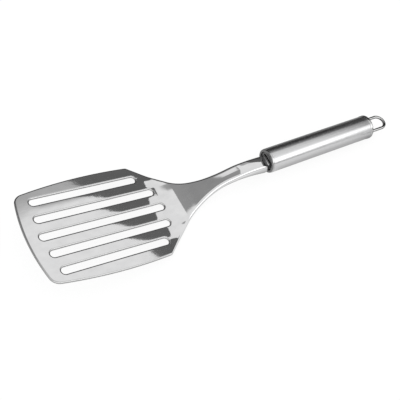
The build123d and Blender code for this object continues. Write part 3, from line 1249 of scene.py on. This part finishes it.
@dataclass
class FrontCap(Piece):
    """The plug in the front of the handle: a rounded lip, a recessed face with a slot, and a skirt."""

    node: ClassVar[str] = "front_cap"
    finish_slot: ClassVar[Slot] = Slot.CAP
    finish: ClassVar[SatinSteel] = PRESSED_CAP
    lip_inset: float = 0.2
    lip_width: float = 2.3
    lip_round: float = 0.9
    lip_inner_round: float = 0.4
    recess: float = 1.6
    plate: float = 2.0
    skirt: float = 9.0
    skirt_wall: float = 1.2
    face_rim: float = 0.6
    lip_shade: float = 0.85
    slot_half: float = 6.7
    slot_low: float = 0.35
    slot_high: float = 3.25

    @property
    def outer(self) -> float:
        """The radius of the lip's outer wall."""
        return self.lie.handle.tube_radius - self.lip_inset

    @property
    def bore(self) -> float:
        """The radius of the recess."""
        return self.outer - self.lip_width

    def wall(self) -> np.ndarray:
        """The turned part: from the face's edge over the lip, along the skirt and back to the plate.

        Returns:
            The profile's points, s along the axis and r away from it.
        """
        handle = self.lie.handle
        outer, bore, hole = self.outer, self.bore, self.bore - self.face_rim
        skirt, inner = handle.skirt_radius, handle.skirt_radius - self.skirt_wall
        tail = handle.lip_length + self.skirt
        length, back = handle.lip_length, self.recess + self.plate
        corners = [(self.recess, hole), (self.recess, bore), (0, bore), (0, outer), (length, outer)]
        corners += [(length, skirt), (tail, skirt), (tail, inner), (back, inner), (back, hole)]
        return rounded(corners, [0.3, self.lip_inner_round, self.lip_round, 0.12, 0, 0.2, 0.2, 0.3], 10)

    def face(self, s: float, radius: float, steps: int = 144) -> np.ndarray:
        """A flat face at s, from the slot's edge to a circle, in the handle's frame.

        A ray at each angle leaves the slot's middle; the grid's points lie between where the ray leaves the
        slot and where it meets the circle.

        Args:
            s: the face's place along the axis.
            radius: the circle's radius.
            steps: the number of rays.

        Returns:
            A grid of points, rays by steps outwards.
        """
        angle = np.linspace(0, 2 * math.pi, steps + 1)
        rim = radius * np.stack([np.cos(angle), np.sin(angle)], -1)
        middle = np.array([0, (self.slot_low + self.slot_high) / 2])
        half = np.array([self.slot_half, (self.slot_high - self.slot_low) / 2])
        ray = rim - middle
        edge = middle + ray * np.min(half / np.maximum(np.abs(ray), 1e-9), axis=-1, keepdims=True)
        share = np.linspace(0, 1, 9)[None, :, None]
        plan = edge[:, None] * (1 - share) + rim[:, None] * share
        return np.concatenate([np.full(plan.shape[:2] + (1,), s), plan], -1)

    def build(self) -> bpy.types.Object:
        """Makes the cap as one closed mesh, with painted shade on the front of its lip, in its recess and on
        its faces and slot.

        Returns:
            The piece.
        """
        wall = self.wall()
        front = self.face(wall[0, 0], wall[0, 1])
        back = self.face(wall[-1, 0], wall[-1, 1])
        depth = np.linspace(0, 1, 6)[None, :, None]
        slot = front[:, :1] * (1 - depth) + back[:, :1] * depth
        grids = [turned(self.lie, wall)]
        grids += [self.lie.world_of_handle(grid) for grid in (front, back, slot)]
        # Painted shade: part strength on the front of the lip, fading back over it, and full on the recess,
        # the faces and the slot.
        shaded = self.lip_shade * (1 - smooth(wall[:, 0], 0.4 * self.lip_round, self.lip_round))
        shaded = np.where(wall[:, 1] < self.bore + 0.01, 1.0, shaded)
        return woven(grids, "front_cap_body", cut_edge_and_shade=[shaded, 1.0, 1.0, 1.0])


@dataclass
class HandleTube(Piece):
    """The brushed tube of the handle, open at both ends, its edges just broken."""

    node: ClassVar[str] = "handle_tube"
    finish_slot: ClassVar[Slot] = Slot.TUBE
    finish: ClassVar[BrushedTube] = BrushedTube()
    edge_round: float = 0.15

    def build(self) -> bpy.types.Object:
        """Makes the tube as one closed mesh, a wall turned about the axis.

        Returns:
            The piece.
        """
        handle = self.lie.handle
        outer, inner = handle.tube_radius, handle.tube_radius - handle.tube_wall
        start, end = handle.lip_length, handle.tube_end
        middle = (start + end) / 2
        corners = [(middle, outer), (end, outer), (end, inner)]
        corners += [(start, inner), (start, outer), (middle, outer)]
        profile = rounded(corners, [self.edge_round] * 4, 4)
        return woven([turned(self.lie, profile, 192)], "handle_tube_body", girth=True)


@dataclass
class RearCap(Piece):
    """The shallow rounded disc that closes the tube, with a skirt that fits within it; its back rim and back
    face carry painted shade.
    """

    node: ClassVar[str] = "rear_cap"
    finish_slot: ClassVar[Slot] = Slot.CAP
    finish: ClassVar[SatinSteel] = SPUN_CAP
    rim_round: float = 1.0
    front_round: float = 0.35
    plate: float = 2.0
    skirt: float = 9.0
    skirt_wall: float = 1.2

    def build(self) -> bpy.types.Object:
        """Makes the cap as one closed mesh: a head, a plate and a skirt turned about the axis.

        Returns:
            The piece.
        """
        handle = self.lie.handle
        head = handle.tube_radius + handle.head_proud
        skirt, inner = handle.skirt_radius, handle.skirt_radius - self.skirt_wall
        start, end = handle.tube_end, handle.head_end
        corners = [(end - self.plate, 0), (end - self.plate, inner), (start - self.skirt, inner)]
        corners += [(start - self.skirt, skirt), (start, skirt), (start, head), (end, head), (end, 0)]
        profile = rounded(corners, [0.3, 0.2, 0.2, 0, self.front_round, self.rim_round], 12)
        # Painted shade: the back rim's rounding and the back face take the near-black painted-shade colour.
        outline = smooth(profile[:, 0], end - 1.05 * self.rim_round, end - 0.8 * self.rim_round)
        return woven([turned(self.lie, profile)], "rear_cap_body", cut_edge_and_shade=[outline])


@dataclass
class HangingLoop(Piece):
    """The U of round wire whose two legs go into the rear cap."""

    node: ClassVar[str] = "hanging_loop"
    finish_slot: ClassVar[Slot] = Slot.WIRE
    finish: ClassVar[SatinSteel] = POLISHED_WIRE
    tail: float = 3.0
    plate: float = 2.0
    dome_flatness: float = 0.3
    around: int = 32

    def path(self) -> np.ndarray:
        """The wire's middle line in the handle's frame: a leg, a half circle and the other leg.

        Returns:
            Points s along the handle's axis and y across it.
        """
        handle = self.lie.handle
        half = self.lie.loop_half
        start, end = handle.head_end - self.plate - self.tail, handle.head_end + self.lie.loop_straight
        leg = np.linspace(start, end, 16)
        turn = np.linspace(math.pi / 2, -math.pi / 2, 64)
        s = np.concatenate([leg, end + half * np.cos(turn[1:-1]), leg[::-1]])
        side = np.full(len(leg), half)
        y = np.concatenate([side, half * np.sin(turn[1:-1]), -side])
        return np.stack([s, y], -1)

    def build(self) -> bpy.types.Object:
        """Makes the wire: a circle carried along the path, square to it, and closed by two small domes.

        Each ring's point is the path's point + radius * (cos a * side + sin a * up). The first and last
        rings shrink over the last part of the legs to nothing.

        Returns:
            The piece.
        """
        path, radius = self.path(), self.lie.wire_radius
        along = np.gradient(path, axis=0)
        along /= np.linalg.norm(along, axis=1, keepdims=True)
        size = np.full(len(path), radius)
        quarter = np.linspace(0, math.pi / 2, 6)[1:]
        dome, out = radius * np.cos(quarter), radius * self.dome_flatness * np.sin(quarter)[:, None]
        path = np.concatenate([(path[0] - out * along[0])[::-1], path, path[-1] + out * along[-1]])
        along = np.concatenate([np.repeat(along[:1], 5, 0), along, np.repeat(along[-1:], 5, 0)])
        size = np.concatenate([dome[::-1], size, dome])[:, None]
        angle = np.linspace(0, 2 * math.pi, self.around + 1)[None]
        side = size * np.cos(angle)
        s = path[:, :1] - along[:, 1:] * side
        y = path[:, 1:] + along[:, :1] * side
        grid = self.lie.world_of_handle(np.stack([s, y, size * np.sin(angle)], -1))
        return woven([grid], "hanging_loop_body")


Graph = tuple[tuple[float, ...], tuple[float, ...]]


@dataclass
class Studio:
    """The white table and the soft light that the tool is photographed in, with the camera.

    Directions are degrees, round from +X towards +Y and up from the table, and a curve is a pair of
    tuples, places and values. The large panels stand so far off that the tool's parts see them in nearly
    the same direction, the ceiling is given by x and y over its height, and only reflections show them.
    """

    lens: float = 64.692
    camera_place: tuple[float, float, float] = (-274.124, -251.895, 544.590)
    camera_right: tuple[float, float, float] = (0.86368594, -0.47126572, 0.17876021)
    camera_down: tuple[float, float, float] = (-0.3284736, -0.79527464, -0.5095521)
    camera_ahead: tuple[float, float, float] = (0.3822979, 0.38137498, -0.84166587)
    world_light: tuple[float, float] = (0.9, 1.0)
    table_colour: Colour = (0.2, 0.2, 0.2)
    table_glow: tuple[float, float] = (0.5, 0.85)
    table_reach: float = 30.0
    table_drop: float = 0.0001
    far: float = 12.0
    wall_nearness: float = 0.9
    wall_turns: tuple[float, float] = (8, 135)
    wall_foot: float = -25.0
    wall_top: Graph = (
        (29, 31, 32, 33.5, 35.3, 36.4, 37.6, 39.0, 41.0),
        (42.75, 42.75, 42.7, 42.5, 42.35, 42.15, 41.97, 41.99, 42.2),
    )
    wall_level: Graph = ((-25, 0, 22, 30, 36, 42), (0.03, 0.03, 0.04, 0.07, 0.14, 0.15))
    box_nearness: float = 0.95
    box_turns: tuple[float, float] = (-140, -14)
    box_heights: tuple[float, float, float] = (7, 22.5, 56)
    box_fade: tuple[float, float] = (50, 56)
    box_side_fade: tuple[float, float] = (14, 30)
    frame_fade: tuple[float, float] = (7, 13)
    frame_side_fade: tuple[float, float] = (14, 34)
    frame_shade: float = 0.45
    ceiling_border: Graph = (
        (-2.4, -0.14, 0.03, 0.1, 0.288, 0.304, 0.43, 0.72, 1.1),
        (0.13, 0.407, 0.41, 0.4, 0.397, 0.487, 0.521, 0.665, 0.73),
    )
    ceiling_margin: float = 0.05
    ceiling_end: float = 2.4
    ceiling_softness: Graph = ((0.27, 0.5, 0.7), (0.006, 0.015, 0.03))
    ceiling_grey: Graph = ((-0.3, 0.3, 0.6, 0.85), (0.34, 0.38, 0.5, 0.52))
    card_reach: float = 8.0
    card_level: Graph = ((0.015, 0.03, 0.045, 0.06, 0.12), (0.58, 0.68, 0.78, 0.87, 0.92))
    handle_run: tuple[float, float] = (0.1, 0.06)
    far_shade: tuple[float, float] = (0.65, 0.24)
    far_shade_run: tuple[float, float] = (0.015, 0.05)
    far_more_run: tuple[float, float] = (0.08, 0.3)
    loop_shade: float = 0.75
    loop_place: float = 0.186
    loop_shade_run: tuple[float, float] = (0.012, 0.035)
    behind_shade: float = 0.85
    behind_spread: float = 0.6
    behind_run: tuple[float, float] = (0.172, 0.185)
    behind_end: tuple[float, float] = (0.12, 0.16)
    blade_shade: float = 0.25
    blade_shade_run: tuple[float, float] = (-0.075, -0.06)
    neck_light: float = 0.4
    neck_light_side: tuple[tuple[float, float], ...] = ((0.008, 0.02), (0.05, 0.08))
    neck_light_run: tuple[tuple[float, float], ...] = ((0.005, 0.02), (0.045, 0.06))
    strip_turns: tuple[float, float] = (-12, 75)
    strip_place: float = 0.18
    strip_radius: float = 0.12
    strip_height: float = 0.15
    strip_level: float = 0.06

    def camera(self) -> None:
        """Sets the camera where the photograph was taken from."""
        camera = bpy.data.objects.new("camera", bpy.data.cameras.new("camera"))
        bpy.context.scene.collection.objects.link(camera)
        rows = Vector(self.camera_right), -Vector(self.camera_down), -Vector(self.camera_ahead)
        turn = Matrix(rows).transposed().to_4x4()
        camera.matrix_world = Matrix.Translation(Vector(self.camera_place) * MM) @ turn
        camera.data.lens = self.lens
        camera.data.clip_start, camera.data.clip_end = 0.01, 100.0
        bpy.context.scene.camera = camera

    def seen(self, tree: bpy.types.NodeTree) -> bpy.types.NodeSocket:
        """Tells what is seen, directly, in a mirror or through glass, from the light that falls on things.

        Args:
            tree: the nodes of a material or the world.

        Returns:
            A socket that is 1 for what is seen and 0 for the light.
        """
        path = tree.nodes.new("ShaderNodeLightPath")
        total = path.outputs["Is Camera Ray"]
        for other in ("Is Glossy Ray", "Is Transmission Ray"):
            add = tree.nodes.new("ShaderNodeMath")
            add.operation = "ADD"
            add.use_clamp = True
            tree.links.new(total, add.inputs[0])
            tree.links.new(path.outputs[other], add.inputs[1])
            total = add.outputs[0]
        return total

    def world(self) -> None:
        """A white world: 1 where it is seen, and a little less as light."""
        world = bpy.data.worlds.new("white_studio")
        bpy.context.scene.world = world
        world.use_nodes = True
        tree = world.node_tree
        shade = tree.nodes["Background"]
        level = tree.nodes.new("ShaderNodeMapRange")
        tree.links.new(self.seen(tree), level.inputs["Value"])
        level.inputs["To Min"].default_value, level.inputs["To Max"].default_value = self.world_light
        tree.links.new(level.outputs[0], shade.inputs["Strength"])
        shade.inputs["Color"].default_value = (1, 1, 1, 1)

    def floor(self) -> None:
        """The table: white where it is seen, with the tool's soft shadow."""
        sides = [-self.table_reach, self.table_reach]
        x, y = np.meshgrid(sides, sides, indexing="ij")
        floor = woven([np.stack([x, y, 0 * x - self.table_drop], -1)], "floor")
        material = bpy.data.materials.new("white_table")
        material.use_nodes = True
        tree = material.node_tree
        tree.nodes.remove(tree.nodes["Principled BSDF"])
        matt = tree.nodes.new("ShaderNodeBsdfDiffuse")
        matt.inputs["Color"].default_value = (*self.table_colour, 1)
        glow = tree.nodes.new("ShaderNodeEmission")
        level = tree.nodes.new("ShaderNodeMapRange")
        tree.links.new(self.seen(tree), level.inputs["Value"])
        level.inputs["To Min"].default_value, level.inputs["To Max"].default_value = self.table_glow
        tree.links.new(level.outputs[0], glow.inputs["Strength"])
        both = tree.nodes.new("ShaderNodeAddShader")
        tree.links.new(matt.outputs[0], both.inputs[0])
        tree.links.new(glow.outputs[0], both.inputs[1])
        tree.links.new(both.outputs[0], tree.nodes["Material Output"].inputs["Surface"])
        floor.data.materials.append(material)

    def panel(self, name: str, grid: np.ndarray, level: np.ndarray | float) -> None:
        """A panel that only reflections show.

        Args:
            name: the panel's name.
            grid: the panel's points, in metres.
            level: its brightness, 1 being white, one number or one for each point of the grid.
        """
        mesh = bpy.data.meshes.new(name)
        rows, columns = grid.shape[:2]
        mesh.from_pydata(grid.reshape(-1, 3), [], quads_of(rows, columns))
        bright = mesh.attributes.new("brightness", "FLOAT", "POINT")
        bright.data.foreach_set("value", np.broadcast_to(level, (rows, columns)).astype(np.float32).ravel())
        panel = bpy.data.objects.new(name, mesh)
        bpy.context.scene.collection.objects.link(panel)
        material = bpy.data.materials.new(name)
        material.use_nodes = True
        tree = material.node_tree
        tree.nodes.remove(tree.nodes["Principled BSDF"])
        glow = tree.nodes.new("ShaderNodeEmission")
        read = tree.nodes.new("ShaderNodeAttribute")
        read.attribute_name = "brightness"
        tree.links.new(read.outputs["Fac"], glow.inputs["Strength"])
        tree.links.new(glow.outputs[0], tree.nodes["Material Output"].inputs["Surface"])
        mesh.materials.append(material)
        panel.visible_camera = panel.visible_diffuse = panel.visible_shadow = False

    def dome(self, turns: np.ndarray, heights: np.ndarray) -> np.ndarray:
        """A part of a sphere: (cos e cos a, cos e sin a, sin e) for each direction round and each height."""
        a, e = np.radians(turns)[:, None], np.radians(heights)
        return np.stack([np.cos(e) * np.cos(a), np.cos(e) * np.sin(a), np.sin(e) + 0 * a], -1) * self.far

    def dark_wall(self) -> None:
        """The dark end of the room: it darkens the blade's middle and a band along the top of the tube."""
        turns = np.linspace(*self.wall_turns, 128)
        heights = np.linspace(self.wall_foot, np.interp(turns, *self.wall_top), 41, axis=1)
        level = np.interp(heights, *self.wall_level)
        self.panel("dark_wall", self.dome(turns, heights) * self.wall_nearness, level)

    def bright_box(self) -> None:
        """The light box on the near side, brightest in the middle, and its grey frame underneath."""
        turns = np.linspace(*self.box_turns, 64)
        foot, middle, top = self.box_heights
        heights = np.linspace(middle, top, 18)
        level = 1 + smooth(-turns, *self.box_side_fade)[:, None] * (1 - smooth(heights, *self.box_fade))
        self.panel("bright_box", self.dome(turns, heights) * self.box_nearness, level)
        heights = np.linspace(foot, middle, 12)
        shade = self.frame_shade * smooth(heights, *self.frame_fade)
        level = 1 - shade * smooth(-turns, *self.frame_side_fade)[:, None]
        self.panel("box_frame", self.dome(turns, heights) * self.box_nearness, level)

    def grey_ceiling(self) -> None:
        """The grey part of the ceiling, whose border is the sharp edge between the light blade and the neck.

        A point is (u, v, 1) times the ceiling's height, where v runs from the border by the square of the
        share of the way, so that the rows lie close where the border is.
        """
        parts = ((-2.4, 0.08, 26), (0.1, 0.44, 86), (0.46, 1.1, 17))
        u = np.concatenate([np.linspace(*part) for part in parts])
        u, over = np.meshgrid(u, np.linspace(0, 1, 41), indexing="ij")
        edge = np.interp(u, *self.ceiling_border) - self.ceiling_margin
        v = edge + over**2 * (self.ceiling_end - edge)
        past = (v - edge - self.ceiling_margin) / np.interp(u, *self.ceiling_softness)
        grey = np.interp(u, *self.ceiling_grey)
        level = grey + (1.0 - grey) * (1 - smooth(past, -1, 1))
        self.panel("grey_ceiling", np.stack([u, v, 1 + 0 * u], -1) * self.far, level)

    def pale_card(self) -> None:
        """The card on the table, with painted shadow: darker under the tool, round and behind the loop and
        beyond the far side.

        One painted light patch on the near side lightens the neck's turned-down side.

        Its points lie at sinh spacing, close together under the tool and wide apart far from it.
        """
        spread = np.sinh(np.linspace(-6, 6, 81)) / math.sinh(6) * self.card_reach
        middle, half = self.handle_run
        x, y = np.meshgrid(spread + middle, spread, indexing="ij")
        level = np.interp(np.hypot(y, np.maximum(np.abs(x - middle) - half, 0)), *self.card_level)
        beyond, more = self.far_shade
        level *= 1 - smooth(y, *self.far_shade_run) * (beyond + more * smooth(y, *self.far_more_run))
        level *= 1 - self.loop_shade * (1 - smooth(np.hypot(x - self.loop_place, y), *self.loop_shade_run))
        behind = smooth(x - self.behind_spread * np.abs(y), *self.behind_run)
        behind *= 1 - smooth(np.hypot(x - self.strip_place, y), *self.behind_end)
        level *= 1 - self.behind_shade * behind
        level *= 1 - self.blade_shade * (1 - smooth(x, *self.blade_shade_run))
        level += self.neck_light * window(-y, *self.neck_light_side) * window(x, *self.neck_light_run)
        self.panel("pale_card", np.stack([x, y, 0 * x - self.table_drop / 5], -1), level)

    def dark_strip(self) -> None:
        """The low dark strip round the loop's end, which darkens the wire's far side."""
        turns = np.radians(np.linspace(*self.strip_turns, 25))
        turn, height = np.meshgrid(turns, [0.0, self.strip_height], indexing="ij")
        x, y = self.strip_place + self.strip_radius * np.cos(turn), self.strip_radius * np.sin(turn)
        self.panel("dark_strip", np.stack([x, y, height], -1), self.strip_level)

    def build(self) -> None:
        """Sets up the camera, the world, the table and the panels."""
        self.camera()
        self.world()
        self.floor()
        self.dark_wall()
        self.bright_box()
        self.grey_ceiling()
        self.pale_card()
        self.dark_strip()
        bpy.context.scene.view_settings.view_transform = "Standard"


def main() -> None:
    """Builds and dresses each piece in order and ties it to the frame."""
    logging.basicConfig(level=logging.INFO, format="%(message)s")
    lie = Lie(Handle())
    for maker in (Sheet(lie), FrontCap(lie), HandleTube(lie), RearCap(lie), HangingLoop(lie)):
        node, slot = maker.node, maker.finish_slot.value
        piece = maker.build()
        maker.dress(piece)
        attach(piece, "root")
        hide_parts(node)
        log.info("%s: %d faces", piece.name, len(piece.data.polygons))
    beads = WELD_BEAD.material(lie.lean)
    for node in ("tang_weld", "loop_weld"):
        dress_node(node, beads)
        log.info("%s: kept from the frame", node)
    Studio().build()


if __name__ == "__main__":
    main()
